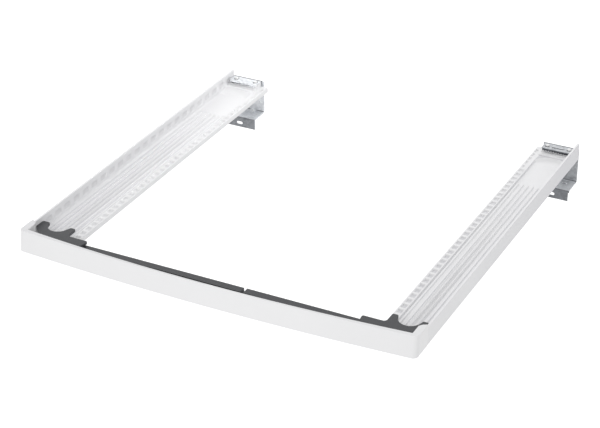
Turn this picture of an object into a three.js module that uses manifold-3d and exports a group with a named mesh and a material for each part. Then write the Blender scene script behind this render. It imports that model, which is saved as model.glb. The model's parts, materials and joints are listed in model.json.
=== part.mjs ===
import * as THREE from 'three';
import { mergeVertices } from 'three/addons/utils/BufferGeometryUtils.js';
import Module from 'manifold-3d';

const wasm = await Module();
wasm.setup();

// Stacking kit that joins a dryer to the washing machine below it.
// Millimetres. X runs across the kit, Y from front to back and Z up from the worktop that it lies on.
// The origin is on the worktop, at the middle of its front edge.

// Whole kit
const kitWidth = 597;
const kitDepth = 608.5;
const seatGap = 0.3;
const cutOverrun = 1;

// Front bar
const barHeight = 31.2;
const barBow = 10.6;
const barStandOff = 2.4;
const barDraft = 4.2;
const barWall = 3;
const barOverhang = 0.5;
const barCornerRadius = 7;
const barReturnDepth = 34;
const lipThickness = 2.6;
const lipBow = 14.8;
const endBlockWidth = 10.3;
const endSkirtHeight = 7.3;
const endSkirtWall = 2.3;
const screwPostRadius = 4;
const screwPostSpacing = 9.5;
const screwPostFrontDepth = 15;
const lugWidth = 14;
const lugDepth = 8;
const lugThickness = 3;
const lugSpacing = 78;
const lugPairs = 2;

// Side rails
const railWidth = 65.5;
const railWallHeight = 27.5;
const railWallThickness = 3;
const railFloorHeight = 4.6;
const railFloorThickness = 2.4;
const coveWidth = 4;
const coveHeight = 3;
const ribCount = 6;
const coveGap = 0.9;
const ribHeight = 2;
const ribBaseWidth = 4.4;
const ribTopWidth = 2.6;
const padReach = 69;
const rowHeight = 8;
const rowWidth = 11.7;
const pocketWidth = 7.7;
const pocketLength = 9.5;
const pocketPitch = 14.2;
const firstPocketDepth = 53.4;
const pocketSink = 2;
const rearPocketWidth = 4;
const rowEndMargin = 12;
const recessLength = 17;
const recessHeight = 11;
const recessSink = 1.8;
const recessCorner = 3;
const recessPitch = 23.75;
const firstRecessDepth = 68.5;
const recessBase = 9.5;
const recessEndMargin = 15;

// Rear foot pad and bracket seat of a rail
const padRadius = 28;
const padRimWidth = 3;
const padSetback = 0.5;
const rearDeckHeight = 8;
const rearStepHeight = 2.2;
const rearStepDepth = 11.8;
const platformHeight = 15.2;
const platformSetback = 2;
const platformWall = 2.4;

// Front deck of a rail, which carries the foot guide inside the bar
const guideDeckDepth = 25.5;
const guideDeckFront = 10;
const guideDeckWall = 2.2;
const guideDeckInset = 3;
const driverHoleRadius = 5.4;

// Foot guides and the cross member that joins them
const guidePlateHeight = 16.5;
const guidePlateThickness = 4;
const guideWallGap = 1.2;
const guideTravel = 6;
const armReach = 25;
const armDepth = 33;
const armSlant = 4;
const armCorner = 2.5;
const strapHeight = 12.3;
const strapThickness = 3;
const strapDepth = 30.5;
const strapFlangeDrop = 7;
const strapFlangeWall = 2.4;
const footRadius = 15.5;
const footCentreInset = 31.5;
const footCentreDepth = 51;
const hornRise = 3;
const hornWidth = 10.5;
const hornTipWidth = 9;
const clawTipCorner = 2.5;
const lobeInset = 0.5;
const lobeWallGap = 0.4;
const guideChamferWidth = 14;
const guideChamferDepth = 18;
const lapLength = 63;
const lapOffset = 6.2;
const lapNotchWidth = 4;
const lapNotchDepth = 11;
const studRadius = 3;
const studSpacing = 34;

// Rear brackets, pressed from sheet
const sheetThickness = 1.5;
const bracketInset = 0.5;
const bracketDrop = 41;
const shelfDepth = 34.5;
const flangeDrop = 16.5;
const flangeInset = 1.6;
const flangeSlotLength = 10.8;
const flangeSlotHeight = 4.8;
const flangeSlotDrop = 9.3;
const bracketFlare = 3.5;
const seatPlateInnerGap = 0.3;
const seatPlateOuterInset = 4;
const seatPlateDepth = 22;
const seatPlateChamfer = 3;
const bracketTravel = 2.5;
const bracketBend = 2.2;
const lipBend = 0.8;
const lipDrop = 4;
const toothPitch = 4;
const toothGap = 2;
const toothHeight = 1.6;
const beadHeight = 0.8;
const beadLength = 21;
const beadWidth = 7;
const dartWidth = 8;
const dartReach = 9;
const dimpleRadius = 3.6;
const dimpleHeight = 1.2;

// Fasteners
const rivetHeadRadius = 3.2;
const rivetHeadHeight = 1.9;
const rivetShankRadius = 2;
const rivetShankLength = 9;
const rivetInnerInset = 6.5;
const rivetOuterInset = 8.5;
const screwHeadRadius = 3.2;
const screwHeadHeight = 1.7;
const screwShankRadius = 1.4;
const screwLength = 14;
const shoulderHeadRadius = 4.4;
const shoulderHeadHeight = 2.2;
const shoulderRadius = 2.6;
const shoulderPlay = 0.3;
const threadRadius = 1.6;
const threadLength = 3;
const shoulderScrewSpacing = 20;
const driveRadius = 1.5;
const driveDepth = 1.2;

// Grip strips under the rails
const gripWidth = 30;
const gripFrontDepth = 70;
const gripRearMargin = 34;
const gripSpacing = 74.5;

// Numbers of straight pieces in round outlines
const bowSteps = 28;
const cornerSteps = 5;
const arcSteps = 16;
const recessCornerSteps = 2;
const fastenerSides = 16;
const padSides = 48;

// Places that follow from the sizes above
const railOuter = kitWidth / 2;
const railInner = railOuter - railWidth;
const wallInner = railOuter - railWallThickness;
const rowOuter = railInner + rowWidth;
const barHalf = railOuter + barOverhang;
const barInnerHalf = barHalf - barWall;
const lipUnderside = barHeight - lipThickness;
const railFront = barReturnDepth + seatGap;
const floorUnderside = railFloorHeight - railFloorThickness;
const channelCentre = (rowOuter + wallInner) / 2;
const guideTop = guidePlateHeight + guidePlateThickness;
const guideDeckTop = guidePlateHeight - seatGap;
const guideDeckRear = guideDeckFront + guideDeckDepth;
const endBlockInner = barHalf - endBlockWidth;
const screwPostX = barInnerHalf - screwHeadRadius - seatGap;
const guideDeckOuter = screwPostX - screwPostRadius - seatGap;
const ribPitch = (wallInner - rowOuter - coveWidth - coveGap) / ribCount;
const pocketCount = Math.floor((kitDepth - rowEndMargin - firstPocketDepth) / pocketPitch) + 1;
const recessCount = Math.floor((kitDepth - recessEndMargin - firstRecessDepth) / recessPitch) + 1;
const bracketBackDepth = kitDepth + bracketTravel;
const seatPlateFront = bracketBackDepth - seatPlateDepth;
const platformRear = kitDepth - platformSetback;
const platformFront = seatPlateFront + sheetThickness + bracketTravel + seatGap;
const rearStepFront = platformFront - rearStepDepth;
const padCentreDepth = rearStepFront - padRadius - padSetback;
const ribEndDepth = padCentreDepth - padReach;
const seatPlateUnder = platformHeight + seatGap;
const seatPlateTop = seatPlateUnder + sheetThickness;
const seatPlateInner = rowOuter + seatPlateInnerGap;
const seatPlateOuter = railOuter - seatPlateOuterInset;
const bracketInner = seatPlateInner - bracketFlare;
const bracketOuter = railOuter - bracketInset;
const bracketWidth = bracketOuter - bracketInner;
const rivetDepth = bracketBackDepth - seatPlateDepth / 2;
const footCentre = railOuter - footCentreInset;
const gripLength = (kitDepth - gripRearMargin - gripFrontDepth - gripSpacing) / 2;
const gripThickness = floorUnderside - seatGap;

// Joining and cutting of closed meshes

function toSolid(geometry) {
  const bare = geometry.clone();
  bare.deleteAttribute('normal');
  bare.deleteAttribute('uv');
  const merged = mergeVertices(bare);
  const corners = merged.index.array;
  const kept = [];
  for (let i = 0; i < corners.length; i += 3) {
    const [a, b, c] = corners.slice(i, i + 3);
    if (a !== b && b !== c && c !== a) {
      kept.push(a, b, c);
    }
  }
  const mesh = new wasm.Mesh({
    numProp: 3,
    vertProperties: new Float32Array(merged.attributes.position.array),
    triVerts: new Uint32Array(kept),
  });
  return new wasm.Manifold(mesh);
}

function toGeometry(solid) {
  const mesh = solid.getMesh();
  const geometry = new THREE.BufferGeometry();
  geometry.setAttribute('position', new THREE.BufferAttribute(new Float32Array(mesh.vertProperties), 3));
  geometry.setIndex(new THREE.BufferAttribute(new Uint32Array(mesh.triVerts), 1));
  geometry.computeVertexNormals();
  return geometry;
}

function joined(parts) {
  return parts.reduce((whole, part) => whole.add(part));
}

function cutBy(body, tools) {
  return tools.reduce((rest, tool) => rest.subtract(tool), body);
}

// The same geometry on the other side of the kit, with its faces still pointing out
function mirrored(geometry) {
  const copy = geometry.clone();
  copy.scale(-1, 1, 1);
  const corners = copy.index.array;
  for (let i = 0; i < corners.length; i += 3) {
    [corners[i], corners[i + 1]] = [corners[i + 1], corners[i]];
  }
  copy.computeVertexNormals();
  return copy;
}

// Basic closed forms

function block(x, y, z) {
  const geometry = new THREE.BoxGeometry(x[1] - x[0], y[1] - y[0], z[1] - z[0]);
  geometry.translate((x[0] + x[1]) / 2, (y[0] + y[1]) / 2, (z[0] + z[1]) / 2);
  return toSolid(geometry);
}

function extruded(outline, low, high) {
  const shape = new THREE.Shape(outline.map(([u, v]) => new THREE.Vector2(u, v)));
  const geometry = new THREE.ExtrudeGeometry(shape, { depth: high - low, bevelEnabled: false });
  geometry.translate(0, 0, low);
  return geometry;
}

// An outline of [x, y] points standing from one height to another
function column(outline, z) {
  return toSolid(extruded(outline, z[0], z[1]));
}

// A section of [y, z] points run across the kit
function acrossX(section, x) {
  const turn = new THREE.Matrix4().makeBasis(
    new THREE.Vector3(0, 1, 0), new THREE.Vector3(0, 0, 1), new THREE.Vector3(1, 0, 0));
  return toSolid(extruded(section, x[0], x[1]).applyMatrix4(turn));
}

// A section of [x, z] points run from front to back
function alongY(section, y) {
  const turn = new THREE.Matrix4().makeBasis(
    new THREE.Vector3(1, 0, 0), new THREE.Vector3(0, 0, 1), new THREE.Vector3(0, -1, 0));
  return toSolid(extruded(section, -y[1], -y[0]).applyMatrix4(turn));
}

function drum(x, y, z, lowRadius, highRadius, sides) {
  const geometry = new THREE.CylinderGeometry(highRadius, lowRadius, z[1] - z[0], sides);
  geometry.rotateX(Math.PI / 2);
  geometry.translate(x, y, (z[0] + z[1]) / 2);
  return toSolid(geometry);
}

// A profile of [radius, height] points turned about the Z axis
function turned(profile) {
  const points = profile.map(([r, z]) => new THREE.Vector2(r, z));
  const geometry = new THREE.LatheGeometry(points, fastenerSides);
  geometry.rotateX(Math.PI / 2);
  return toSolid(geometry);
}

// Points of an arc, from one angle to another in radians
function arc(x, y, radius, from, to, steps) {
  const points = [];
  for (let i = 0; i <= steps; i += 1) {
    const angle = from + (to - from) * i / steps;
    points.push([x + radius * Math.cos(angle), y + radius * Math.sin(angle)]);
  }
  return points;
}

// An oblong with round ends or corners, centred on [u, v]
function roundedOblong(u, v, length, height, radius, steps) {
  const du = length / 2 - radius;
  const dv = height / 2 - radius;
  const quarter = Math.PI / 2;
  return [
    ...arc(u + du, v + dv, radius, 0, quarter, steps),
    ...arc(u - du, v + dv, radius, quarter, 2 * quarter, steps),
    ...arc(u - du, v - dv, radius, 2 * quarter, 3 * quarter, steps),
    ...arc(u + du, v - dv, radius, 3 * quarter, 4 * quarter, steps),
  ];
}

// A closed body between two outlines of as many points each
function loft(lowOutline, highOutline, z) {
  const count = lowOutline.length;
  const positions = [
    ...lowOutline.flatMap(([x, y]) => [x, y, z[0]]),
    ...highOutline.flatMap(([x, y]) => [x, y, z[1]]),
  ];
  const contour = lowOutline.map(([x, y]) => new THREE.Vector2(x, y));
  const cap = THREE.ShapeUtils.triangulateShape(contour, []);
  const index = [];
  for (const [a, b, c] of cap) {
    index.push(c, b, a, a + count, b + count, c + count);
  }
  for (let i = 0; i < count; i += 1) {
    const next = (i + 1) % count;
    index.push(i, next, next + count, i, next + count, i + count);
  }
  const geometry = new THREE.BufferGeometry();
  geometry.setAttribute('position', new THREE.Float32BufferAttribute(positions, 3));
  geometry.setIndex(index);
  return toSolid(geometry);
}

// Front bar

// Depth of the bowed front at a place across the kit, on the worktop
function bowedFront(x) {
  return -barStandOff - barBow * (1 - (x / barHalf) ** 2);
}

// The bar seen from above, drawn in from its outer face by an inset and closed at a rear depth
function barOutline(inset, setback, rear) {
  const half = barHalf - inset;
  const radius = barCornerRadius - inset;
  const flat = half - radius;
  const points = [];
  for (let i = 0; i <= bowSteps; i += 1) {
    const x = -flat + 2 * flat * i / bowSteps;
    points.push([x, bowedFront(x) + inset + setback]);
  }
  const cornerY = bowedFront(flat) + inset + setback + radius;
  const quarter = Math.PI / 2;
  const right = arc(flat, cornerY, radius, -quarter, 0, cornerSteps).slice(1);
  const left = arc(-flat, cornerY, radius, -2 * quarter, -quarter, cornerSteps).slice(0, -1);
  return [...left, ...points, ...right, [half, rear], [-half, rear]];
}

// The open space behind the lip, seen from above
function lipOpening() {
  const lipFront = bowedFront(0) + barDraft + barWall;
  const rear = barReturnDepth + cutOverrun;
  const edge = [];
  for (let i = 0; i <= bowSteps; i += 1) {
    const x = endBlockInner * (2 * i / bowSteps - 1);
    edge.push([x, lipFront + lipBow * (x / barHalf) ** 2]);
  }
  const turnY = barReturnDepth - endBlockWidth;
  const quarter = Math.PI / 2;
  const round = arc(endBlockInner + endBlockWidth, turnY, endBlockWidth, 2 * quarter, quarter, cornerSteps);
  const right = round.filter(([x]) => x < barInnerHalf);
  const left = right.map(([x, y]) => [-x, y]).reverse();
  return [...edge, ...right, [barInnerHalf, rear], [-barInnerHalf, rear], ...left];
}

function screwPostPlaces() {
  return [screwPostFrontDepth, screwPostFrontDepth + screwPostSpacing].map((y) => [screwPostX, y]);
}

function makeFrontBar() {
  const drawn = (height) => barDraft * height / barHeight;
  const shell = loft(barOutline(0, 0, barReturnDepth), barOutline(0, barDraft, barReturnDepth), [0, barHeight]);
  const rear = barReturnDepth + cutOverrun;
  const hollow = loft(
    barOutline(barWall, -drawn(cutOverrun), rear),
    barOutline(barWall, drawn(lipUnderside), rear),
    [-cutOverrun, lipUnderside]);
  const behindLip = column(lipOpening(), [lipUnderside - cutOverrun, barHeight + cutOverrun]);
  const skirtFront = bowedFront(endBlockInner) + drawn(lipUnderside) + barWall / 2;
  const skirts = [-1, 1].map((side) => {
    const x = [side * endBlockInner, side * (endBlockInner + endSkirtWall)].sort((u, v) => u - v);
    const z = [lipUnderside - endSkirtHeight, lipUnderside + lipThickness / 2];
    return block(x, [skirtFront, barReturnDepth - endBlockWidth], z);
  });
  const open = joined([cutBy(shell, [hollow, behindLip]), ...skirts]);
  const postBase = railFloorHeight + seatGap;
  const posts = [];
  const pilots = [];
  for (const side of [-1, 1]) {
    for (const [x, y] of screwPostPlaces()) {
      const pilotRadius = screwShankRadius + seatGap;
      const pilotTop = floorUnderside + screwLength + seatGap;
      posts.push(drum(side * x, y, [postBase, lipUnderside + cutOverrun], screwPostRadius, screwPostRadius,
        fastenerSides));
      pilots.push(drum(side * x, y, [postBase - cutOverrun, pilotTop], pilotRadius, pilotRadius,
        fastenerSides));
    }
  }
  const lugTop = strapHeight - seatGap;
  const lugs = [];
  for (let i = 1; i <= lugPairs; i += 1) {
    for (const side of [-1, 1]) {
      const x = side * i * lugSpacing;
      const root = bowedFront(x) + drawn(lugTop) + barWall / 2;
      const face = [[root, lugTop - lugThickness - lugDepth / 2], [root + lugDepth, lugTop - lugThickness],
        [root + lugDepth, lugTop], [root, lugTop]];
      lugs.push(acrossX(face, [x - lugWidth / 2, x + lugWidth / 2]));
    }
  }
  return toGeometry(cutBy(joined([open, ...posts, ...lugs]), pilots));
}

// Side rail, drawn on the right-hand side

function ribFront(x) {
  const reach = footRadius + ribHeight;
  const across = x - footCentre;
  const sag = Math.abs(across) < reach ? Math.sqrt(reach ** 2 - across ** 2) : 0;
  return footCentreDepth - sag;
}

function makeRibs() {
  const firstRib = rowOuter + ribPitch / 2;
  const ribs = [];
  for (let i = 0; i < ribCount; i += 1) {
    const x = firstRib + i * ribPitch;
    const top = railFloorHeight + ribHeight;
    const section = [
      [x - ribBaseWidth / 2, floorUnderside], [x + ribBaseWidth / 2, floorUnderside],
      [x + ribBaseWidth / 2, railFloorHeight], [x + ribTopWidth / 2, top],
      [x - ribTopWidth / 2, top], [x - ribBaseWidth / 2, railFloorHeight],
    ];
    ribs.push(alongY(section, [ribFront(x), ribEndDepth]));
  }
  return ribs;
}

function makeRowPockets() {
  const lip = (rowWidth - pocketWidth) / 2;
  const pockets = [];
  for (let i = 0; i < pocketCount; i += 1) {
    const y = firstPocketDepth + i * pocketPitch;
    const width = y < padCentreDepth - padRadius ? pocketWidth : rearPocketWidth;
    pockets.push(block([railInner + lip, railInner + lip + width], [y - pocketLength / 2, y + pocketLength / 2],
      [rowHeight - pocketSink, rowHeight + cutOverrun]));
  }
  return pockets;
}

function makeWallRecesses() {
  const recesses = [];
  for (let i = 0; i < recessCount; i += 1) {
    const y = firstRecessDepth + i * recessPitch;
    const outline = roundedOblong(y, recessBase + recessHeight / 2, recessLength, recessHeight, recessCorner,
      recessCornerSteps);
    recesses.push(acrossX(outline, [wallInner - cutOverrun, wallInner + recessSink]));
  }
  return recesses;
}

// The hollows under the floor, between the skirts, which the grip strips lie in
function gripHollows() {
  const x = [channelCentre - gripWidth / 2 - seatGap, channelCentre + gripWidth / 2 + seatGap];
  return gripPlaces().map((y) => block(x, [y[0] - seatGap, y[1] + seatGap], [-cutOverrun, floorUnderside]));
}

function gripPlaces() {
  const rear = kitDepth - gripRearMargin;
  return [[gripFrontDepth, gripFrontDepth + gripLength], [rear - gripLength, rear]];
}

function makeRearSeat() {
  const x = [rowOuter, wallInner + cutOverrun];
  const deck = block(x, [padCentreDepth, platformRear], [floorUnderside, rearDeckHeight]);
  const step = block(x, [rearStepFront, platformRear], [floorUnderside, rearDeckHeight + rearStepHeight]);
  const platform = block(x, [platformFront, platformRear], [floorUnderside, platformHeight]);
  const rise = rearDeckHeight - railFloorHeight;
  const overrun = cutOverrun * padRimWidth / rise;
  const dish = drum(channelCentre, padCentreDepth, [railFloorHeight, rearDeckHeight + cutOverrun],
    padRadius - padRimWidth, padRadius + overrun, padSides);
  return { solid: joined([deck.subtract(dish), step, platform]) };
}

function guideScrewPlaces() {
  const y = (guideDeckFront + guideDeckRear) / 2 - guideTravel / 2;
  return [-1, 1].map((side) => [footCentre + side * shoulderScrewSpacing / 2, y]);
}

// The raised deck inside the bar, hollow below, with a slot for each shoulder screw of the foot guide
function makeGuideDeck() {
  const x = [railInner + guideDeckInset, guideDeckOuter];
  const y = [guideDeckFront, guideDeckRear];
  const shell = block(x, y, [floorUnderside, guideDeckTop]);
  const tongue = block([x[0], barInnerHalf - seatGap], [y[0], railFront + cutOverrun],
    [floorUnderside, railFloorHeight]);
  const hollow = block([x[0] + guideDeckWall, x[1] - guideDeckWall], [y[0] + guideDeckWall, y[1] - guideDeckWall],
    [railFloorHeight, guideDeckTop - guideDeckWall]);
  const width = 2 * (shoulderRadius + shoulderPlay);
  const slots = guideScrewPlaces().map(([sx, sy]) => column(
    roundedOblong(sx, sy + guideTravel / 2, width, width + guideTravel, width / 2, recessCornerSteps * 2),
    [guideDeckTop - guideDeckWall - cutOverrun, guideDeckTop + cutOverrun]));
  const drivers = guideScrewPlaces().map(([sx, sy]) => drum(sx, sy,
    [floorUnderside - cutOverrun, railFloorHeight + cutOverrun], driverHoleRadius, driverHoleRadius, fastenerSides));
  return { solid: joined([shell, tongue]), cuts: [hollow, ...slots, ...drivers] };
}

function makeRail() {
  const y = [railFront, kitDepth];
  const floor = block([railInner, railOuter], [y[0], kitDepth - platformSetback], [0, railFloorHeight]);
  const wall = block([wallInner, railOuter], y, [0, railWallHeight]);
  const row = block([railInner, rowOuter], y, [0, rowHeight]);
  const cove = alongY([
    [wallInner - coveWidth, floorUnderside], [wallInner + cutOverrun, floorUnderside],
    [wallInner + cutOverrun, railFloorHeight + coveHeight], [wallInner, railFloorHeight + coveHeight],
    [wallInner - coveWidth, railFloorHeight],
  ], [railFront, padCentreDepth]);
  const rearSeat = makeRearSeat();
  const deck = makeGuideDeck();
  const body = joined([floor, wall, row, cove, ...makeRibs(), rearSeat.solid, deck.solid]);
  const rivetRadius = rivetShankRadius + seatGap;
  const rivetHoles = rivetPlaces().map((x) => drum(x, rivetDepth,
    [seatPlateTop - rivetShankLength - seatGap, platformHeight + cutOverrun], rivetRadius, rivetRadius,
    fastenerSides));
  const underPlatform = block([rowOuter + platformWall, wallInner - platformWall],
    [platformFront + platformWall, platformRear - platformWall], [-cutOverrun, floorUnderside]);
  const screwRadius = screwShankRadius + seatGap;
  const screwHoles = screwPostPlaces().map(([sx, sy]) => drum(sx, sy,
    [floorUnderside - cutOverrun, railFloorHeight + cutOverrun], screwRadius, screwRadius, fastenerSides));
  return toGeometry(cutBy(body, [
    ...deck.cuts, ...makeRowPockets(), ...makeWallRecesses(), ...rivetHoles, ...gripHollows(), underPlatform,
    ...screwHoles,
  ]));
}

// Foot guides: a claw round each front foot of the dryer, an arm, and one half of the cross member

// Front edge of a guide, just behind the inner face of the bar
function guideFrontEdge(x) {
  return bowedFront(x) + barDraft * guideTop / barHeight + barWall + guideWallGap;
}

function bowedEdge(from, to, steps) {
  const points = [];
  for (let i = 0; i <= steps; i += 1) {
    const x = from + (to - from) * i / steps;
    points.push([x, guideFrontEdge(x)]);
  }
  return points;
}

function clawOutline() {
  const armInner = railInner - armReach;
  const lobeOuter = wallInner - lobeWallGap;
  const lobeInner = footCentre + footRadius + lobeInset;
  const hornInner = footCentre - footRadius - hornWidth;
  const hornOuter = hornInner + hornTipWidth;
  const cornerDepth = footCentreDepth + hornRise - clawTipCorner;
  const shoulder = lobeOuter - guideChamferWidth;
  const shoulderDepth = armDepth + armCorner * 2;
  const bite = Math.asin(1 / 4);
  const half = Math.PI;
  const crotch = armCorner * 2;
  const tip = (inner, outer) => [
    ...arc(outer - clawTipCorner, cornerDepth, clawTipCorner, 0, half / 2, cornerSteps),
    ...arc(inner + clawTipCorner, cornerDepth, clawTipCorner, half / 2, half, cornerSteps),
  ];
  return [
    ...bowedEdge(armInner + armSlant, shoulder, bowSteps / 4),
    [shoulder, shoulderDepth - guideChamferDepth],
    [lobeOuter, shoulderDepth],
    ...tip(lobeInner, lobeOuter),
    ...arc(footCentre, footCentreDepth, footRadius, -bite, -half + bite, arcSteps),
    ...tip(hornInner, hornOuter),
    ...arc(hornInner - crotch, armDepth + crotch, crotch, 0, -half / 2, cornerSteps),
    ...arc(armInner + armCorner, armDepth - armCorner, armCorner, half / 2, half, cornerSteps),
  ];
}

// A straight stretch of the cross member with its stiffening flange
function strap(from, to, low) {
  const edge = bowedEdge(from, to, bowSteps / 2);
  const plate = column([...edge, [to, strapDepth], [from, strapDepth]], [low, low + strapThickness]);
  const flange = block([from, to], [strapDepth - strapFlangeWall, strapDepth],
    [strapHeight - strapFlangeDrop, low + strapThickness]);
  return plate.add(flange);
}

function studPlaces() {
  return [-1, 1].map((side) => [lapOffset + side * studSpacing / 2, strapDepth / 2]);
}

function claw() {
  const baseInner = railInner - armReach + armSlant;
  const plate = column(clawOutline(), [guidePlateHeight, guideTop]);
  const edge = bowedEdge(baseInner, railInner, bowSteps / 4);
  const armBase = column([...edge, [railInner, armDepth - armCorner], [baseInner, armDepth - armCorner]],
    [strapHeight, guidePlateHeight + cutOverrun]);
  const radius = threadRadius + seatGap;
  const holes = guideScrewPlaces().map(([x, y]) => drum(x, y,
    [guidePlateHeight - cutOverrun, guidePlateHeight + threadLength + seatGap], radius, radius, fastenerSides));
  return cutBy(plate.add(armBase), holes);
}

// The right-hand guide ends in a lower tongue, and the left-hand one lies flush over it
function makeRightGuide() {
  const baseInner = railInner - armReach + armSlant;
  const lapFrom = lapOffset - lapLength / 2 + seatGap;
  const notchX = lapOffset + lapLength / 2;
  const strapFrom = notchX + lapNotchWidth;
  const low = strapHeight - strapThickness - seatGap;
  const member = strap(strapFrom, baseInner + cutOverrun, strapHeight);
  const tongue = strap(lapFrom, strapFrom + strapThickness, low);
  const notch = block([notchX, strapFrom], [strapDepth - lapNotchDepth, strapDepth + cutOverrun], [0, guideTop]);
  const hole = studRadius + seatGap;
  const studHoles = studPlaces().map(([x, y]) => drum(x, y,
    [low - cutOverrun, low + strapThickness + cutOverrun], hole, hole, fastenerSides));
  return toGeometry(cutBy(joined([claw(), member, tongue]), [notch, ...studHoles]));
}

function makeLeftGuide() {
  const baseInner = railInner - armReach + armSlant;
  const lapFrom = lapOffset - lapLength / 2;
  const lapTo = lapOffset + lapLength / 2;
  const member = strap(-baseInner - cutOverrun, lapFrom, strapHeight);
  const edge = bowedEdge(lapFrom - cutOverrun, lapTo, bowSteps / 4);
  const tongue = column([...edge, [lapTo, strapDepth], [lapFrom - cutOverrun, strapDepth]],
    [strapHeight, strapHeight + strapThickness]);
  const studs = studPlaces().map(([x, y]) => drum(x, y,
    [strapHeight - strapThickness - seatGap, strapHeight + cutOverrun], studRadius, studRadius, fastenerSides));
  const leftClaw = toSolid(mirrored(toGeometry(claw())));
  return toGeometry(joined([leftClaw, member, tongue, ...studs]));
}

// Rear bracket, pressed from sheet: a seat plate on the rail, a back plate, a shelf and a screw flange

function rivetPlaces() {
  return [seatPlateInner + rivetInnerInset, seatPlateOuter - rivetOuterInset];
}

// A sheet bend between two flat stretches, as the outline of its section in [y, z]
function foldedSheet(path, radii) {
  const outer = [];
  const inner = [];
  for (let i = 0; i < path.length; i += 1) {
    const here = new THREE.Vector2(...path[i]);
    const before = i > 0 ? new THREE.Vector2(...path[i - 1]) : null;
    const after = i < path.length - 1 ? new THREE.Vector2(...path[i + 1]) : null;
    if (!before || !after) {
      const way = (before ? here.clone().sub(before) : after.clone().sub(here)).normalize();
      const side = new THREE.Vector2(-way.y, way.x).multiplyScalar(sheetThickness);
      inner.push([here.x, here.y]);
      outer.push([here.x + side.x, here.y + side.y]);
      continue;
    }
    const into = here.clone().sub(before).normalize();
    const away = after.clone().sub(here).normalize();
    const turn = Math.sign(into.x * away.y - into.y * away.x);
    const radius = radii[i - 1];
    const toCentre = new THREE.Vector2(-into.y, into.x).multiplyScalar(turn * radius);
    const start = here.clone().sub(into.clone().multiplyScalar(radius));
    const centre = start.clone().add(toCentre);
    const from = Math.atan2(-toCentre.y, -toCentre.x);
    const sweep = turn * Math.PI / 2;
    const other = radius - turn * sheetThickness;
    inner.push(...arc(centre.x, centre.y, radius, from, from + sweep, cornerSteps));
    outer.push(...arc(centre.x, centre.y, other, from, from + sweep, cornerSteps));
  }
  return [...inner, ...outer.reverse()];
}

function makeBracket() {
  const backFace = bracketBackDepth;
  const shelfTop = -bracketDrop + sheetThickness;
  const shelfFront = backFace + sheetThickness - shelfDepth;
  const lipBase = seatPlateTop - lipDrop;
  const lipBack = seatPlateFront + sheetThickness;
  const path = [
    [lipBack, lipBase],
    [lipBack, seatPlateUnder],
    [backFace, seatPlateUnder],
    [backFace, shelfTop],
    [shelfFront, shelfTop],
    [shelfFront, -bracketDrop - flangeDrop],
  ];
  const section = foldedSheet(path, [lipBend, bracketBend, bracketBend, bracketBend]);
  const sheet = acrossX(section, [bracketInner, bracketOuter]);
  const above = [seatPlateFront - cutOverrun, bracketBackDepth];
  const seatTrim = [
    [bracketInner - cutOverrun, seatPlateInner], [seatPlateOuter, bracketOuter + cutOverrun],
  ].map((x) => block(x, above, [0, seatPlateTop + cutOverrun]));
  const cornerTrim = [[seatPlateInner, 1], [seatPlateOuter, -1]].map(([x, way]) => column([
    [x - way * cutOverrun, seatPlateFront - cutOverrun],
    [x + way * (seatPlateChamfer + cutOverrun), seatPlateFront - cutOverrun],
    [x - way * cutOverrun, seatPlateFront + seatPlateChamfer + cutOverrun],
  ].sort((a, b) => way * (a[0] - b[0]) || a[1] - b[1]), [0, seatPlateTop + cutOverrun]));
  const flangeTrim = block([bracketOuter - flangeInset, bracketOuter + cutOverrun],
    [shelfFront - cutOverrun, shelfFront + sheetThickness + cutOverrun],
    [-bracketDrop - flangeDrop - cutOverrun, -bracketDrop - bracketBend]);
  const slotWidth = 2 * (rivetShankRadius + seatGap);
  const slots = rivetPlaces().map((x) => column(
    roundedOblong(x, rivetDepth, slotWidth, slotWidth + 2 * bracketTravel, slotWidth / 2, recessCornerSteps * 2),
    [seatPlateUnder - cutOverrun, seatPlateTop + beadHeight + cutOverrun]));
  const flangeSlot = flangeSlotCut(shelfFront);
  const beadCentre = (rivetPlaces()[0] + rivetPlaces()[1]) / 2;
  const bead = column(roundedOblong(beadCentre, rivetDepth, beadLength, beadWidth, beadWidth / 2, cornerSteps),
    [seatPlateUnder, seatPlateTop + beadHeight]);
  const dartX = bracketInner + bracketWidth / 3;
  const dart = acrossX([
    [backFace + sheetThickness / 2, shelfTop - sheetThickness / 2],
    [backFace + sheetThickness / 2, shelfTop + dartReach],
    [backFace, shelfTop + dartReach], [backFace - dartReach, shelfTop],
    [backFace - dartReach, shelfTop - sheetThickness / 2],
  ], [dartX - dartWidth / 2, dartX + dartWidth / 2]);
  const dimple = drum(bracketOuter - bracketWidth / 4, backFace - shelfDepth / 3,
    [shelfTop - sheetThickness / 2, shelfTop + dimpleHeight], dimpleRadius, dimpleRadius - dimpleHeight / 2,
    fastenerSides);
  const trimmed = cutBy(sheet, [...seatTrim, ...cornerTrim, flangeTrim]);
  const gaps = makeToothGaps(lipBase);
  return toGeometry(cutBy(joined([trimmed, bead, dart, dimple]), [...slots, ...gaps, flangeSlot]));
}

// Gaps between the teeth along the seat plate's front lip
function makeToothGaps(lipBase) {
  const gaps = [];
  const from = seatPlateInner + toothPitch;
  const count = Math.floor((seatPlateOuter - toothPitch - from) / toothPitch);
  for (let i = 0; i <= count; i += 1) {
    const x = from + i * toothPitch;
    gaps.push(block([x - toothGap / 2, x + toothGap / 2],
      [seatPlateFront - cutOverrun, seatPlateFront + sheetThickness + cutOverrun],
      [lipBase - cutOverrun, lipBase + toothHeight]));
  }
  return gaps;
}

function flangeSlotCut(shelfFront) {
  const outline = roundedOblong(bracketInner + bracketWidth / 2, -bracketDrop - flangeSlotDrop, flangeSlotLength,
    flangeSlotHeight, flangeSlotHeight / 2, recessCornerSteps * 2);
  return alongY(outline, [shelfFront - cutOverrun, shelfFront + sheetThickness + cutOverrun]);
}

// Fasteners, each drawn with the underside of its head at the origin

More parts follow.
